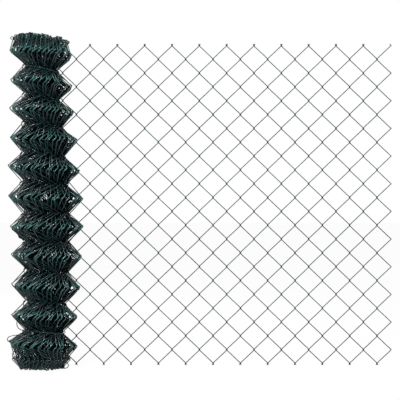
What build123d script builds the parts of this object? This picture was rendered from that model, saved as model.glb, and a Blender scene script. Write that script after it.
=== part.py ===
"""A compact roll of chain-link fencing standing on end, its outer length unrolled as a flat sheet.

The roll's axis is Z and the floor is Z = 0. The sheet leaves the back of the roll towards +X.
"""

import os
from math import asin, cos, degrees, radians, sin

from build123d import *

# Mesh of the flat sheet
wire_diameter = 2.8
wire_sides = 4
cell_width = 84.0
cell_height = 85.0
half_rows = 23
wire_count = 26
hook_clearance = 0.3
leg_gap = 2.8
bend_rise_share = 0.35
tail_length = 6.5
tail_hook_length = 5.0

# Compact roll, turned with flat sides between the wires of its outer turn
roll_sides = 32
bulge_stretch_share = 1.03
middle_row_count = 12
widest_radius = 110.0
zigzag_depth = 40.0
bottom_end_radius = 69.0
shoulder_radius = 86.0
shoulder_drop = 16.0
top_end_radius = 76.0
top_end_length = 39.0
bore_radius = 20.0

# Each bulge's share of the widest radius, from the bottom of the roll to the top
crest_share = (0.927, 0.882, 0.918, 0.955, 0.986, 1.0, 0.964, 0.909, 0.855, 0.818, 0.832)
bulge_count = len(crest_share)

# Spiral gap between the turns, on both ends of the roll
turn_count = 3
turn_gap = 3.0
turn_gap_depth = 8.0
turn_wall = 5.0

# Binding wires round the first and the last notch, each with a twisted tail
tie_diameter = 2.4
tie_sides = 4
tie_clearance = 0.3
tie_seat_height = 6.0
tie_quarter_turns = 8
tie_quarter_length = 2.8
tie_tail_angle = -112.0

# The sheet starts one column before the roll's axis and stands clear of the widest bulge
behind_column_count = 1
sheet_clearance = 0.3

half_cell_width = cell_width / 2
half_cell_height = cell_height / 2
hook_offset = (wire_diameter + hook_clearance) / 2
leg_offset = (wire_diameter + leg_gap) / 2
bend_half_rise = bend_rise_share * wire_diameter


def spiral_path():
    """Centre line of one wire, a flattened spiral with a tail at each end.

    The legs that rise to the right lie in front and the others behind. A bend reaches past the
    middle of its column, round the bend of the next wire there. A tail runs on past its bend,
    behind the sheet, and its tip is bent over to the front.
    """
    bends = []
    for row in range(half_rows + 1):
        on_left = row % 2 == 0
        bend_x = -hook_offset if on_left else half_cell_width + hook_offset
        arrival = leg_offset if on_left else -leg_offset
        height = row * half_cell_height
        bends.append(Vector(bend_x, arrival, height - bend_half_rise))
        bends.append(Vector(bend_x, -arrival, height + bend_half_rise))
    leg = (bends[2] - bends[1]).normalized()
    tail = Vector(leg.X, 0, -leg.Z) * tail_length
    hook = Vector(0, -1, 0) * tail_hook_length
    bottom_tail = bends[0] + tail
    top_tail = bends[-1] - tail
    return [bottom_tail + hook, bottom_tail, *bends, top_tail, top_tail + hook]


wire_path = spiral_path()
with BuildPart() as spiral_wire:
    with BuildLine():
        Polyline(*wire_path)
    with BuildSketch(Plane(origin=wire_path[0], z_dir=wire_path[1] - wire_path[0])):
        RegularPolygon(wire_diameter / 2, wire_sides)
    sweep(transition=Transition.RIGHT)

# The wires stand on their tails. The roll's middle bulge is level with a row of their bends.
wire_foot = -spiral_wire.part.bounding_box().min.Z
bulge_pitch = bulge_stretch_share * cell_height
crest_half_span = (bulge_count - 1) / 2 * bulge_pitch
middle_height = wire_foot + middle_row_count * half_cell_height
first_crest_height = middle_height - crest_half_span
roll_height = middle_height + crest_half_span + top_end_length
tied_bulges = {"tie_wire_bottom": 0, "tie_wire_top": bulge_count - 2}

half_side_angle = 180 / roll_sides
sheet_depth = widest_radius + sheet_clearance + leg_offset + wire_diameter / 2


def crest_radius(bulge):
    """Radius at the crest of a bulge, counted from the bottom."""
    return widest_radius * crest_share[bulge]


def notch_radius(bulge):
    """Radius at the bottom of the notch above a bulge."""
    return (crest_radius(bulge) + crest_radius(bulge + 1)) / 2 - zigzag_depth


def notch_height(bulge):
    """Height of the notch above a bulge, counted from the bottom."""
    return first_crest_height + (bulge + 1 / 2) * bulge_pitch


def roll_outline():
    """Outer points of the roll, from its bottom end to its top end, as radius and height."""
    points = [(bottom_end_radius, 0)]
    for bulge in range(bulge_count):
        height = first_crest_height + bulge * bulge_pitch
        points.append((crest_radius(bulge), height))
        if bulge == bulge_count - 1:
            break
        height = notch_height(bulge)
        radius = notch_radius(bulge)
        if bulge in tied_bulges.values():
            points.append((radius, height - tie_seat_height / 2))
            points.append((radius, height + tie_seat_height / 2))
        else:
            points.append((radius, height))
    points.append((shoulder_radius, roll_height - shoulder_drop))
    points.append((top_end_radius, roll_height))
    return points


def turn_arcs(end_radius):
    """Half circles of the spiral gap on one end, as centre, radius and first angle."""
    inner_radius = bore_radius + turn_wall
    step = (end_radius - turn_wall - inner_radius) / (2 * turn_count)
    arcs = []
    for half_turn in range(2 * turn_count):
        turned = half_turn % 2 == 1
        centre = step / 2 if turned else -step / 2
        radius = inner_radius + (half_turn + 1 / 2) * step
        arcs.append(((centre, 0), radius, 180 if turned else 0))
    return arcs


# One side of the roll is its outline drawn out level, between two planes through the axis
with BuildPart() as roll_side:
    with BuildSketch(Plane.XZ):
        with BuildLine():
            Polyline((0, 0), *roll_outline(), (0, roll_height), close=True)
        make_face()
    extrude(amount=widest_radius, both=True)
    split(bisect_by=Plane.XZ.rotated((0, 0, half_side_angle)), keep=Keep.TOP)
    split(bisect_by=Plane.XZ.rotated((0, 0, -half_side_angle)), keep=Keep.BOTTOM)

with BuildPart() as compact_roll:
    with PolarLocations(0, roll_sides):
        add(roll_side.part)
    bottom_end = (Plane.XY.rotated((180, 0, 0)), bottom_end_radius)
    top_end = (Plane.XY.offset(roll_height), top_end_radius)
    for end_plane, end_radius in (bottom_end, top_end):
        with BuildSketch(end_plane):
            with BuildLine():
                for centre, radius, first_angle in turn_arcs(end_radius):
                    CenterArc(centre, radius, first_angle, 180)
            trace(line_width=turn_gap)
        extrude(amount=-turn_gap_depth, mode=Mode.SUBTRACT)
    with Locations((0, 0, roll_height)):
        Hole(bore_radius)


def tie_path(bulge):
    """Centre line of a binding wire: a ring round the notch above a bulge, its ends twisted together."""
    height = notch_height(bulge)
    strand_offset = (tie_diameter + tie_clearance) / 2 / cos(radians(45))
    notch_corner_radius = notch_radius(bulge) / cos(radians(half_side_angle))
    seat_radius = notch_corner_radius + tie_clearance + tie_diameter / 2
    half_opening = degrees(asin(strand_offset / seat_radius))
    step = (360 - 2 * half_opening) / roll_sides
    corner_radius = seat_radius / cos(radians(step / 2))
    ring = []
    for corner in range(roll_sides + 1):
        angle = radians(half_opening + corner * step)
        ring.append(Vector(corner_radius * cos(angle), corner_radius * sin(angle), height))
    first_strand = []
    second_strand = []
    for quarter in range(1, tie_quarter_turns + 1):
        middle = Vector(ring[0].X + quarter * tie_quarter_length, 0, height)
        turn = radians(90 * quarter)
        offset = Vector(0, cos(turn), sin(turn)) * strand_offset
        first_strand.insert(0, middle + offset)
        second_strand.append(middle - offset)
    points = [*first_strand, *ring, *second_strand]
    return [point.rotate(Axis.Z, tie_tail_angle) for point in points]


os.makedirs("parts", exist_ok=True)
compact_roll.part.label = "compact_roll"
export_step(compact_roll.part, "parts/compact_roll.step")

# Every second wire is turned half round, so that neighbours hook into each other
for index in range(wire_count):
    column = index - behind_column_count
    if column % 2 == 0:
        place = Location((column * half_cell_width, sheet_depth, wire_foot))
    else:
        place = Location(((column + 1) * half_cell_width, sheet_depth, wire_foot), (0, 0, 180))
    with BuildPart() as sheet_wire:
        with Locations(place):
            add(spiral_wire.part)
    wire_name = f"spiral_wire_{index + 1:02d}"
    sheet_wire.part.label = wire_name
    export_step(sheet_wire.part, f"parts/{wire_name}.step")

for tie_name, bulge in tied_bulges.items():
    points = tie_path(bulge)
    with BuildPart() as tie_wire:
        with BuildLine():
            Polyline(*points)
        with BuildSketch(Plane(origin=points[0], z_dir=points[1] - points[0])):
            RegularPolygon(tie_diameter / 2, tie_sides)
        sweep(transition=Transition.RIGHT)
    tie_wire.part.label = tie_name
    export_step(tie_wire.part, f"parts/{tie_name}.step")
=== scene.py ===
import math
import random

import bpy
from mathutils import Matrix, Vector, noise


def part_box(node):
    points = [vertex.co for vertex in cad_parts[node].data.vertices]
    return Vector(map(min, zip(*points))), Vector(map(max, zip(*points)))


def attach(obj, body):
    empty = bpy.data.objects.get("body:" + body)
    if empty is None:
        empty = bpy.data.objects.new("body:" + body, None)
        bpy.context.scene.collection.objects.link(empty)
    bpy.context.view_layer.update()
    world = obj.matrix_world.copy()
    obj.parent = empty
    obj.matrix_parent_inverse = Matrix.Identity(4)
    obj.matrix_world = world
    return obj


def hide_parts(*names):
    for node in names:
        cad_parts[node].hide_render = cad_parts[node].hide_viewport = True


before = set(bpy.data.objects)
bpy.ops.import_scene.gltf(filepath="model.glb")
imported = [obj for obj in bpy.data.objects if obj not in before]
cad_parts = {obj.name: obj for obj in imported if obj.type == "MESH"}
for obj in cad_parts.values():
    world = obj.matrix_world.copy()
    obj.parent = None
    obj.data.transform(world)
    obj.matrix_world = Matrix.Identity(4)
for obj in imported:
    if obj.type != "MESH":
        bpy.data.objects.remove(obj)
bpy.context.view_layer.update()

scene = bpy.context.scene
scene.view_settings.view_transform = "Standard"
up = Vector((0, 0, 1))


# Finishes of the coated wire, with painted highlight and shade on the roll

mottling = {
    "scale": 38,
    "detail": 3,
    "stops": (0.35, 0.7),
}
# random patches that make the painted crest highlight and notch shade uneven
bandPatches = {
    "scale": 70,
    "detail": 1,
    "noise": (0.38, 0.62),
    "tone": (0.35, 1.15),    # times the banded colour, which holds a painted highlight and shade
}
sheetCoat = {
    "colour": (0.010, 0.035, 0.031),
    "worn": (0.017, 0.050, 0.044),
    "roughness": 0.6,
    "gloss": 0.3,
}
tieCoat = {
    "colour": (0.004, 0.016, 0.016),
    "worn": (0.010, 0.036, 0.034),
    "roughness": 0.3,
    "gloss": 0.4,
}
rollCoatAndPaintedLight = {
    "bands": (                   # painted highlight on the crests, at 0, to painted shade in the notches, at 1
        (0.0, (0.034, 0.117, 0.109)),
        (0.10, (0.030, 0.106, 0.099)),
        (0.28, (0.008, 0.037, 0.038)),
        (0.85, (0.003, 0.017, 0.019)),
    ),
    "level": 0.518,              # height of the middle crest
    "pitch": 0.043775,           # from a crest to a notch
    "roughness": 0.2,
    "gloss": 0.4,
}
shadeCoat = {
    "bands": (                   # painted shade inside the roll, green near its two ends
        (0.0, (0.001, 0.005, 0.006)),
        (0.86, (0.001, 0.005, 0.006)),
        (0.93, (0.012, 0.054, 0.052)),
    ),
    "level": 0.497,              # half way up the roll
    "pitch": 0.52,
    "roughness": 0.5,
    "gloss": 0.03,
}


def newFinish(name, roughness, gloss):
    material = bpy.data.materials.new(name)
    material.use_nodes = True
    shader = material.node_tree.nodes["Principled BSDF"]
    shader.inputs["Roughness"].default_value = roughness
    shader.inputs["Specular IOR Level"].default_value = gloss
    return material, shader


def addNoise(nodes, links, place, settings):
    cloud = nodes.new("ShaderNodeTexNoise")
    cloud.inputs["Scale"].default_value = settings["scale"]
    cloud.inputs["Detail"].default_value = settings["detail"]
    links.new(place.outputs["Object"], cloud.inputs["Vector"])
    return cloud.outputs["Fac"]


def addMath(nodes, links, operation, source, value):
    step = nodes.new("ShaderNodeMath")
    step.operation = operation
    step.inputs[1].default_value = value
    links.new(source, step.inputs[0])
    return step.outputs[0]


def addRamp(nodes, links, source, bands):
    tone = nodes.new("ShaderNodeValToRGB")
    stops = tone.color_ramp.elements
    while len(stops) < len(bands):
        stops.new(1)
    for stop, (position, colour) in zip(stops, bands):
        stop.position = position
        stop.color = (*colour, 1)
    links.new(source, tone.inputs["Fac"])
    return tone.outputs["Color"]


def coatedFinish(name, colour, worn, roughness, gloss):
    material, shader = newFinish(name, roughness, gloss)
    nodes, links = material.node_tree.nodes, material.node_tree.links
    place = nodes.new("ShaderNodeTexCoord")
    mottle = addNoise(nodes, links, place, mottling)
    tone = addRamp(nodes, links, mottle, tuple(zip(mottling["stops"], (colour, worn))))
    links.new(tone, shader.inputs["Base Color"])
    return material


def paintedLightBands(name, bands, level, pitch, roughness, gloss):
    # paints light and shade as bands: paler (painted highlight) or darker (painted shade) with the
    # distance up or down from evenly spaced levels
    material, shader = newFinish(name, roughness, gloss)
    nodes, links = material.node_tree.nodes, material.node_tree.links
    place = nodes.new("ShaderNodeTexCoord")
    split = nodes.new("ShaderNodeSeparateXYZ")
    links.new(place.outputs["Object"], split.inputs[0])
    height = addMath(nodes, links, "SUBTRACT", split.outputs["Z"], level)
    away = addMath(nodes, links, "PINGPONG", height, pitch)
    tone = addRamp(nodes, links, addMath(nodes, links, "DIVIDE", away, pitch), bands)
    patchyTone = nodes.new("ShaderNodeMapRange")
    patchyTone.inputs["From Min"].default_value = bandPatches["noise"][0]
    patchyTone.inputs["From Max"].default_value = bandPatches["noise"][1]
    patchyTone.inputs["To Min"].default_value = bandPatches["tone"][0]
    patchyTone.inputs["To Max"].default_value = bandPatches["tone"][1]
    links.new(addNoise(nodes, links, place, bandPatches), patchyTone.inputs["Value"])
    paintedTone = nodes.new("ShaderNodeVectorMath")
    paintedTone.operation = "SCALE"
    links.new(tone, paintedTone.inputs[0])
    links.new(patchyTone.outputs["Result"], paintedTone.inputs["Scale"])
    links.new(paintedTone.outputs["Vector"], shader.inputs["Base Color"])
    return material


rollGreen = paintedLightBands("rollGreen", **rollCoatAndPaintedLight)
rollShade = paintedLightBands("rollShade", **shadeCoat)
sheetGreen = coatedFinish("sheetGreen", **sheetCoat)
tieGreen = coatedFinish("tieGreen", **tieCoat)
print("finishes made")


# Wires are bevelled curves

def newWires(name, radius, steps, roundness):
    curve = bpy.data.curves.new(name, "CURVE")
    curve.dimensions = "3D"
    curve.resolution_u = steps
    curve.bevel_depth = radius
    curve.bevel_resolution = roundness
    curve.use_fill_caps = True
    return curve


def addWire(curve, knots):
    # a knot is a point with its handles back and on, and no handle means a straight leg
    spline = curve.splines.new("BEZIER")
    spline.bezier_points.add(len(knots) - 1)
    for bend, (point, before, after) in zip(spline.bezier_points, knots):
        bend.co = point
    for bend, (point, before, after) in zip(spline.bezier_points, knots):
        if before is None:
            bend.handle_left_type = "VECTOR"
        else:
            bend.handle_left = point - before
        if after is None:
            bend.handle_right_type = "VECTOR"
        else:
            bend.handle_right = point + after


def smoothKnots(path):
    knots = []
    for index, point in enumerate(path):
        before = path[max(index - 1, 0)]
        after = path[min(index + 1, len(path) - 1)]
        direction = (after - before).normalized()
        back = direction * (point - before).length / 3
        onward = direction * (after - point).length / 3
        knots.append((point, back, onward))
    return knots


def finishWires(curve, material, slotName, *nodes):
    piece = bpy.data.objects.new(curve.name, curve)
    scene.collection.objects.link(piece)
    curve.materials.append(material)
    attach(piece, "root")
    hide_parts(*nodes)


# Flat sheet: one flattened spiral for each wire, hooked into its neighbours

sheet = {
    "wireRadius": 0.0014,
    "steps": 4,
    "roundness": 2,
    "columnWidth": 0.042,
    "rowHeight": 0.0425,
    "lastRow": 23,
    "firstColumn": -1,
    "wires": 26,
    "hookReach": 0.00155,    # how far a bend passes the middle of its column
    "legOffset": 0.0028,     # a leg's distance from the middle plane of the sheet
    "bendStart": 0.0042,     # the straight leg ends this far from its bend
    "bendPull": 0.75,        # handles of a bend, as a share of the leg's offset
    "bendRise": 0.35,        # slope of a bend as it crosses the sheet
    "tail": 0.0048,          # a tail runs on past its last bend, and its tip is bent to the front
    "tailTip": 0.005,
    "tailBend": 0.0014,
    "tipPull": 0.3,
}
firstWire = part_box("spiral_wire_01")
sheet["depth"] = (firstWire[0].y + firstWire[1].y) / 2
sheet["foot"] = (firstWire[0].z + firstWire[1].z - sheet["lastRow"] * sheet["rowHeight"]) / 2


def sheetWireKnots(column):
    # every second wire is turned half round
    even = column % 2 == 0
    side = 1 if even else -1
    firstX = (column if even else column + 1) * sheet["columnWidth"]
    origin = Vector((firstX, sheet["depth"], sheet["foot"]))

    def along(x, y, z):
        return Vector((side * x, side * y, z))

    def spot(x, y, z):
        return origin + along(x, y, z)

    run = sheet["columnWidth"] + 2 * sheet["hookReach"]
    rise = sheet["rowHeight"]
    legLength = math.hypot(run, rise)
    legX, legZ = run / legLength, rise / legLength
    start, tail = sheet["bendStart"], sheet["tail"]
    straight = (legLength - 2 * start) / 3
    turn = sheet["legOffset"] * sheet["bendPull"]
    toFront = along(0, -1, 0)
    knots = []
    for row in range(sheet["lastRow"] + 1):
        onLeft = row % 2 == 0
        bendX = -sheet["hookReach"] if onLeft else sheet["columnWidth"] + sheet["hookReach"]
        inward = 1 if onLeft else -1
        arriving = sheet["legOffset"] * inward
        height = row * rise
        arriveDir = along(-inward * legX, 0, legZ)
        leaveDir = along(inward * legX, 0, legZ)
        crossDir = along(0, -inward, sheet["bendRise"]).normalized()
        if row == 0:
            corner = spot(bendX + inward * legX * tail, arriving, height - legZ * tail)
            tip = corner + toFront * sheet["tailTip"]
            over = (arriveDir - toFront).normalized() * sheet["tailBend"]
            knots.append((tip, Vector(), (corner - tip) * sheet["tipPull"]))
            knots.append((corner, over, over))
        else:
            arrival = spot(bendX + inward * legX * start, arriving, height - legZ * start)
            knots.append((arrival, arriveDir * straight, arriveDir * turn))
        knots.append((spot(bendX, 0, height), crossDir * turn, crossDir * turn))
        if row < sheet["lastRow"]:
            leaving = spot(bendX + inward * legX * start, -arriving, height + legZ * start)
            knots.append((leaving, leaveDir * turn, leaveDir * straight))
        else:
            corner = spot(bendX + inward * legX * tail, -arriving, height + legZ * tail)
            tip = corner + toFront * sheet["tailTip"]
            over = (toFront + leaveDir).normalized() * sheet["tailBend"]
            knots.append((corner, over, over))
            knots.append((tip, (tip - corner) * sheet["tipPull"], Vector()))
    return knots


for number in range(sheet["wires"]):
    wireName = f"sheetWire{number + 1:02d}"
    wires = newWires(wireName, sheet["wireRadius"], sheet["steps"], sheet["roundness"])
    addWire(wires, sheetWireKnots(sheet["firstColumn"] + number))
    finishWires(wires, sheetGreen, "coated_wire", f"spiral_wire_{number + 1:02d}")
print("sheet wires made:", sheet["wires"])


# Compact roll: the fabric folds like a fan as it winds, hooked at the crests and the notches

roll = {
    "wireRadius": 0.0014,
    "turns": (                       # name, wires, steps, roundness and finish
        ("rollOuterTurns", 76, 3, 1, rollGreen),
        # the middle and inner turns take rollShade: painted shade inside the roll
        ("rollMiddleTurns", 139, 3, 0, rollShade),
        ("rollInnerTurns", 116, 2, 0, rollShade),
    ),
    "rowPitch": 0.043775,
    "middleRow": 12,
    "halfRows": 10,                  # rows from the middle crest to the first or the last one
    # radius of each crest from the bottom, how far it leans down on the right, and its lift
    "crests": (0.102, 0.097, 0.101, 0.105, 0.1085, 0.110, 0.106, 0.100, 0.094, 0.090, 0.0915),
    "lean": (0.007, 0.003, 0.0045, 0.0045, -0.001, 0.0035, 0.008, 0.004, 0.0075, 0.012, 0.009),
    "lift": (-0.004, -0.009, -0.0065, -0.001, -0.004, -0.001,
             -0.0025, -0.002, -0.004, -0.009, -0.008),
    "bow": (0.002, 0.00365, 0.01135, 0.0045),    # offset, tilt, arch and wave of the standing roll
    "depth": (0.040, 0.028),         # of the folds in the first and the last turn
    "fullFold": 2.2,                 # fold lines from the sheet to a notch of full depth
    "tiedRows": (3, 21),
    "tieDraw": 0.003,                # the binding wires draw their notches in
    "nested": (6, 0.005),            # the first turns lie in one another within this depth
    "turnPitch": 0.0024,             # of the turns inside them
    "nestGap": (0.013, 0.010),       # between them and the first turns, inside and at the ends
    "looseSide": 0.0042,             # the first turn stands off the others at the sides
    "firstTurn": (0.8, 0.3),         # the turns wound where it ends, on the right and on the left
    "coreRadius": 0.022,
    "firstAngle": 131,               # where the fabric comes off the roll
    "pairsPerTurn": 8.382,
    "stepShare": 1.15,               # from crest to notch, of a pair's step: all legs lean one way
    "hookReach": 0.0016,
    "legOffset": 0.0052,
    "crestHalf": 0.0045,             # half height of the flat end of a bend on a crest
    "crestSoft": 0.003,
    "bendStart": 0.0066,
    "bendPull": 1.33,                # handles of a bend in a notch, as a share of its start
    "frontLeg": 0.0015,              # in a notch one leg of a wire lies this far in front, one behind
    "loose": (0.0014, 0.0010, 0.0014),    # wander of a hook round, out of and up the roll
    "notchLoose": 3,                 # times more up and down in a notch
    "innerLoose": (4, 7),            # times more round and up the inner turns
    "topLoose": 1.6,                 # times more at the top end
    "sway": 0.005,
    "swayScale": (2.3, 0.4, 3),      # round, up and into the roll
    "swayRadius": 0.05,
    "bottomRow": (0.069, 0.008),     # radius and height
    "lowerRow": (0.085, 0.036),
    "topRow": (0.081, 0.985),
    "dome": 0.010,
    "domeTurns": 6,
    "topSlope": 0.006,
    "loopRadius": (0.0032, 0.005),
    "lowLoop": 0.8,                  # the loops at the foot are smaller
    "straysDepth": -0.012,
    "strays": (                      # loose wire ends low on the left and at the foot
        ((-0.066, 0.160), (-0.083, 0.147), (-0.080, 0.126), (-0.058, 0.116)),
        ((-0.074, 0.106), (-0.107, 0.100), (-0.112, 0.088), (-0.084, 0.076)),
        ((-0.076, 0.060), (-0.095, 0.054), (-0.095, 0.037), (-0.076, 0.030)),
        ((0.040, 0.026), (0.066, 0.022), (0.068, 0.008), (0.046, 0.005)),
    ),
    "seed": 5,
}
roll["middle"] = sheet["foot"] + roll["middleRow"] * sheet["rowHeight"]
roll["halfSpan"] = roll["halfRows"] * roll["rowPitch"]
roll["wires"] = sum(turns[1] for turns in roll["turns"])
chance = random.Random(roll["seed"])
ringPull = 0.5523     # handles of a quarter of a ring, as a share of its radius


def rollBow(height):
    # the standing roll bows a little to the right below its middle
    s = (height - roll["middle"]) / roll["halfSpan"]
    offset, tilt, arch, wave = roll["bow"]
    return offset - tilt * s - arch * s * s - wave * math.sin(math.pi * s)


def alongCrests(values, row):
    # the first crest is at row 2, and the next ones are two rows apart
    place = min(max((row - 2) / 2, 0), len(values) - 1)
    below = min(int(place), len(values) - 2)
    return values[below] + (values[below + 1] - values[below]) * (place - below)


def leanAt(row, angle):
    return alongCrests(roll["lift"], row) - alongCrests(roll["lean"], row) * math.cos(angle)


# Angle and turns wound so far at each fold line: odd lines are crests, even lines are notches,
# and line 0 is the edge of the sheet
foldLines = [None]
angle = math.radians(roll["firstAngle"])
turned = 0.0
for line in range(1, roll["wires"] + 1):
    foldLines.append((angle, turned))
    share = roll["stepShare"] if line % 2 == 1 else 1 - roll["stepShare"]
    turned += share / roll["pairsPerTurn"]
    angle += 2 * math.pi * share / roll["pairsPerTurn"]
roll["turned"] = turned
print("turns wound:", round(turned, 1))


def foldSpot(line, row):
    if line == 0:
        return Vector((sheet["firstColumn"] * sheet["columnWidth"], sheet["depth"],
                       sheet["foot"] + row * sheet["rowHeight"]))
    angle, turned = foldLines[line]
    crest = line % 2 == 1
    between = 1 < row < sheet["lastRow"]
    nestedTurns, nestedDepth = roll["nested"]
    wander = [chance.gauss(0, amount) for amount in roll["loose"]]
    if between and turned > nestedTurns:
        wander[0] *= roll["innerLoose"][0]
        wander[2] *= roll["innerLoose"][1]
    elif between and not crest:
        wander[2] *= roll["notchLoose"]

    if row == 0:
        radius, height = roll["bottomRow"]
        height += abs(wander[2])
    elif row == 1:
        radius, height = roll["lowerRow"]
        height += wander[2]
    elif row == sheet["lastRow"]:
        radius, height = roll["topRow"]
        height += roll["dome"] * min(turned / roll["domeTurns"], 1)
        height += wander[2] * roll["topLoose"] - roll["topSlope"] * math.cos(angle)
    else:
        radius = alongCrests(roll["crests"], row)
        height = roll["middle"] + (row - roll["middleRow"]) * roll["rowPitch"]
        height += leanAt(row, angle) + wander[2]
        if not crest:
            radius -= roll["depth"][0] * min(line / roll["fullFold"], 1)
            if row in roll["tiedRows"]:
                radius -= roll["tieDraw"]

    radius += wander[1] - nestedDepth * min(turned / nestedTurns, 1)
    if turned > nestedTurns:
        inside = 1 < row < sheet["lastRow"] - 1
        radius -= roll["nestGap"][0 if inside else 1] + roll["turnPitch"] * (turned - nestedTurns)
    if turned >= roll["firstTurn"][0 if math.cos(angle) > 0 else 1]:
        radius -= roll["looseSide"] * abs(math.cos(angle))
    if crest:
        radius -= (roll["depth"][0] - roll["depth"][1]) * turned / roll["turned"]
    radius = max(radius, roll["coreRadius"])

    swayRound, swayUp, swayIn = roll["swayScale"]
    swayPlace = Vector((math.cos(angle) * swayRound, math.sin(angle) * swayRound,
                        row * swayUp + turned * swayIn))
    angle += (wander[0] + roll["sway"] * noise.noise(swayPlace)) / max(radius, roll["swayRadius"])
    return Vector((radius * math.cos(angle) + rollBow(height), radius * math.sin(angle), height))


spots = {}
for line in range(roll["wires"] + 1):
    for row in range(1 - line % 2, sheet["lastRow"] + 1, 2):
        spots[line, row] = foldSpot(line, row)


def endLoop(point, arriving, radius, upward):
    # a bent-over tail: three quarters of a small ring
    sideways = arriving.cross(up)
    if sideways.length < 0.001:     # the wire ends straight up
        sideways = Vector((1, 0, 0))
    sideways.normalize()
    spin = chance.uniform(0, 2 * math.pi)
    lift = up * upward
    across = (sideways * math.cos(spin) + sideways.cross(lift) * math.sin(spin)).normalized()
    centre = point + across * radius
    reach = radius * ringPull
    knots = []
    for quarter in range(4):
        turn = math.pi - quarter * math.pi / 2
        spot = centre + across * (radius * math.cos(turn)) + lift * (radius * math.sin(turn))
        tangent = across * math.sin(turn) - lift * math.cos(turn)
        knots.append((spot, tangent * reach, tangent * reach))
    return knots


def rollWireKnots(wire):
    crestLine, notchLine = (wire, wire + 1) if wire % 2 == 1 else (wire + 1, wire)
    rows = range(sheet["lastRow"] + 1)
    path = [spots[crestLine if row % 2 == 0 else notchLine, row] for row in rows]
    soft, start = roll["crestSoft"], roll["bendStart"]
    pull = start * roll["bendPull"]
    knots = []
    for row in range(1, sheet["lastRow"]):
        below, here, above = path[row - 1], path[row], path[row + 1]
        crest = row % 2 == 0
        outward = here - (below + above) / 2
        outward.z = 0
        outward.normalize()
        width = outward if crest else -outward
        thick = up.cross(width) * roll["legOffset"]     # the same way round the roll at every bend
        arriveDir = (here - below).normalized()
        leaveDir = (above - here).normalized()
        apex = here + outward * roll["hookReach"]
        if crest:
            half = up * roll["crestHalf"] + thick
            knots.append((apex - half, None, arriveDir * soft))
            knots.append((apex + half, leaveDir * soft, None))
        else:
            front = width * roll["frontLeg"] * (1 if wire % 2 == 1 else -1)
            knots.append((apex - arriveDir * start + thick + front, None, arriveDir * pull))
            knots.append((apex + leaveDir * start - thick - front, leaveDir * pull, None))
    small, large = roll["loopRadius"]
    lowRadius = chance.uniform(small, large) * roll["lowLoop"]
    lowLoop = endLoop(path[0], path[1] - path[0], lowRadius, -1)
    highRadius = chance.uniform(small, large)
    highLoop = endLoop(path[-1], path[-1] - path[-2], highRadius, 1)
    lowLoop.reverse()
    lowKnots = [(spot, -after, -before) for spot, before, after in lowLoop]
    lowKnots[-1] = (lowKnots[-1][0], lowKnots[-1][1], None)
    highLoop[0] = (highLoop[0][0], None, highLoop[0][2])
    return lowKnots + knots + highLoop


wound = 0
for turnName, count, steps, roundness, finish in roll["turns"]:
    wires = newWires(turnName, roll["wireRadius"], steps, roundness)
    for wire in range(wound, wound + count):
        addWire(wires, rollWireKnots(wire))
    if wound == 0:
        for stray in roll["strays"]:
            addWire(wires, smoothKnots([Vector((x, roll["straysDepth"], z)) for x, z in stray]))
    wound += count
    finishWires(wires, finish, "coated_wire", "compact_roll")
print("roll wires made:", wound)


# Binding wires round the first and last notch, ends twisted together

tie = {
    "wireRadius": 0.0012,
    "steps": 4,
    "roundness": 2,
    "tailAngle": -112,
    "corners": 24,
    "ripple": 0.0012,
    "ripples": (5, 3),       # out and up, in one round
    "twistTurns": 2,
    "twistStep": 0.0056,     # in half a turn
    "strand": 1.05,          # from the middle of the twist, times the wire's radius
}


def tieKnots(node, row):
    low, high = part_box(node)
    height = (low.z + high.z) / 2
    radius = high.x - tie["wireRadius"]
    start = math.radians(tie["tailAngle"])
    shift = Vector((rollBow(height), 0, height))
    ripplesOut, ripplesUp = tie["ripples"]
    ring = []
    for corner in range(tie["corners"] + 1):
        angle = start + 2 * math.pi * corner / tie["corners"]
        reach = radius + tie["ripple"] * math.sin(ripplesOut * angle)
        wave = leanAt(row, angle) + tie["ripple"] * math.sin(ripplesUp * angle)
        ring.append(Vector((reach * math.cos(angle), reach * math.sin(angle), wave)) + shift)
    shift.z += leanAt(row, start)
    outward = Vector((math.cos(start), math.sin(start), 0))
    sideways = up.cross(outward)
    strand = tie["wireRadius"] * tie["strand"]
    first, second = [], []
    for quarter in range(1, 4 * tie["twistTurns"] + 1):
        middle = shift + outward * (radius + quarter * tie["twistStep"] / 2)
        turn = quarter * math.pi / 2
        offset = (sideways * math.cos(turn) + up * math.sin(turn)) * strand
        first.insert(0, middle + offset)
        second.append(middle - offset)
    return smoothKnots(first + ring + second)


tieNodes = {"bindingBottom": "tie_wire_bottom", "bindingTop": "tie_wire_top"}
for (tieName, node), row in zip(tieNodes.items(), roll["tiedRows"]):
    wires = newWires(tieName, tie["wireRadius"], tie["steps"], tie["roundness"])
    addWire(wires, tieKnots(node, row))
    finishWires(wires, tieGreen, "tie_wire", node)
print("binding wires made")


# Pale floor, white surround and soft lamps

studio = {
    "floorHalf": 30,
    "floorColour": (0.95, 0.95, 0.95, 1),
    "floorGlow": 0.97,
    "fill": 0.03,
    "lamps": (               # name, place, target, size and power
        ("keyLamp", (-0.7, -4.3, 1.7), (0.2, 0, 0.5), 0.3, 170),
        ("topLamp", (0.0, -1.5, 4.4), (0.2, 0, 0.5), 0.8, 110),
        ("sideLamp", (2.4, -2.2, 1.4), (0.4, 0, 0.5), 1.4, 20),
        ("backLamp", (-1.3, 3.0, 2.6), (0.0, 0, 0.5), 1.8, 80),
    ),
}


def whiteToCamera(nodes, links):
    path = nodes.new("ShaderNodeLightPath")
    seen = nodes.new("ShaderNodeMath")
    seen.operation = "MAXIMUM"
    links.new(path.outputs["Is Camera Ray"], seen.inputs[0])
    both = nodes.new("ShaderNodeMath")
    both.operation = "MAXIMUM"
    links.new(path.outputs["Is Glossy Ray"], both.inputs[0])
    links.new(path.outputs["Is Transmission Ray"], both.inputs[1])
    links.new(both.outputs[0], seen.inputs[1])
    return seen.outputs[0]


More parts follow.
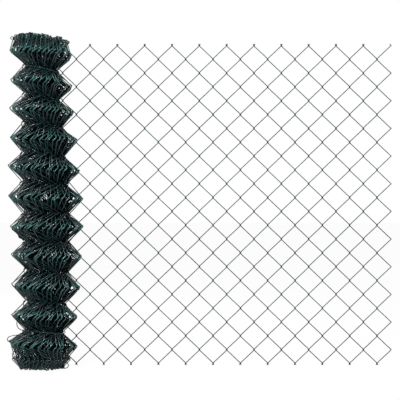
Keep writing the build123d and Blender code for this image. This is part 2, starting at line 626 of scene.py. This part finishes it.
world = bpy.data.worlds.new("studioWorld")
scene.world = world
world.use_nodes = True
nodes, links = world.node_tree.nodes, world.node_tree.links
fill = nodes["Background"]
fill.inputs["Color"].default_value = (1, 1, 1, 1)
fill.inputs["Strength"].default_value = studio["fill"]
white = nodes.new("ShaderNodeBackground")
white.inputs["Color"].default_value = (1, 1, 1, 1)
white.inputs["Strength"].default_value = 1
pick = nodes.new("ShaderNodeMixShader")
links.new(whiteToCamera(nodes, links), pick.inputs[0])
links.new(fill.outputs[0], pick.inputs[1])
links.new(white.outputs[0], pick.inputs[2])
links.new(pick.outputs[0], nodes["World Output"].inputs["Surface"])

bpy.ops.mesh.primitive_plane_add(size=2 * studio["floorHalf"], location=(0, 0, 0))
floor = bpy.context.object
floor.name = "studioFloor"
paleFloor, shader = newFinish("paleFloor", 1, 0)
nodes, links = paleFloor.node_tree.nodes, paleFloor.node_tree.links
shader.inputs["Base Color"].default_value = studio["floorColour"]
glow = nodes.new("ShaderNodeEmission")
glow.inputs["Strength"].default_value = 1
blend = nodes.new("ShaderNodeMixShader")
share = addMath(nodes, links, "MULTIPLY", whiteToCamera(nodes, links), studio["floorGlow"])
links.new(share, blend.inputs[0])
links.new(shader.outputs[0], blend.inputs[1])
links.new(glow.outputs[0], blend.inputs[2])
links.new(blend.outputs[0], nodes["Material Output"].inputs["Surface"])
floor.data.materials.append(paleFloor)


def softLamp(name, place, target, size, power):
    lamp = bpy.data.lights.new(name, "AREA")
    lamp.size = size
    lamp.energy = power
    holder = bpy.data.objects.new(name, lamp)
    scene.collection.objects.link(holder)
    holder.location = place
    holder.rotation_mode = "QUATERNION"
    holder.rotation_quaternion = (Vector(target) - Vector(place)).to_track_quat("-Z", "Y")


for lampSettings in studio["lamps"]:
    softLamp(*lampSettings)
print("studio made")


# Camera level with the middle of the roll, facing the sheet

camera = {
    "place": (0.464, -4.69, 0.509),
    "focalPixels": 1563,
    "imagePixels": 400,
    "sensor": 36,
    "clipEnd": 200,
}
lens = bpy.data.cameras.new("photoCamera")
lens.sensor_width = camera["sensor"]
lens.lens = camera["focalPixels"] / camera["imagePixels"] * camera["sensor"]
lens.clip_end = camera["clipEnd"]
viewer = bpy.data.objects.new("photoCamera", lens)
scene.collection.objects.link(viewer)
viewer.location = camera["place"]
viewer.rotation_euler = (math.radians(90), 0, 0)
scene.camera = viewer
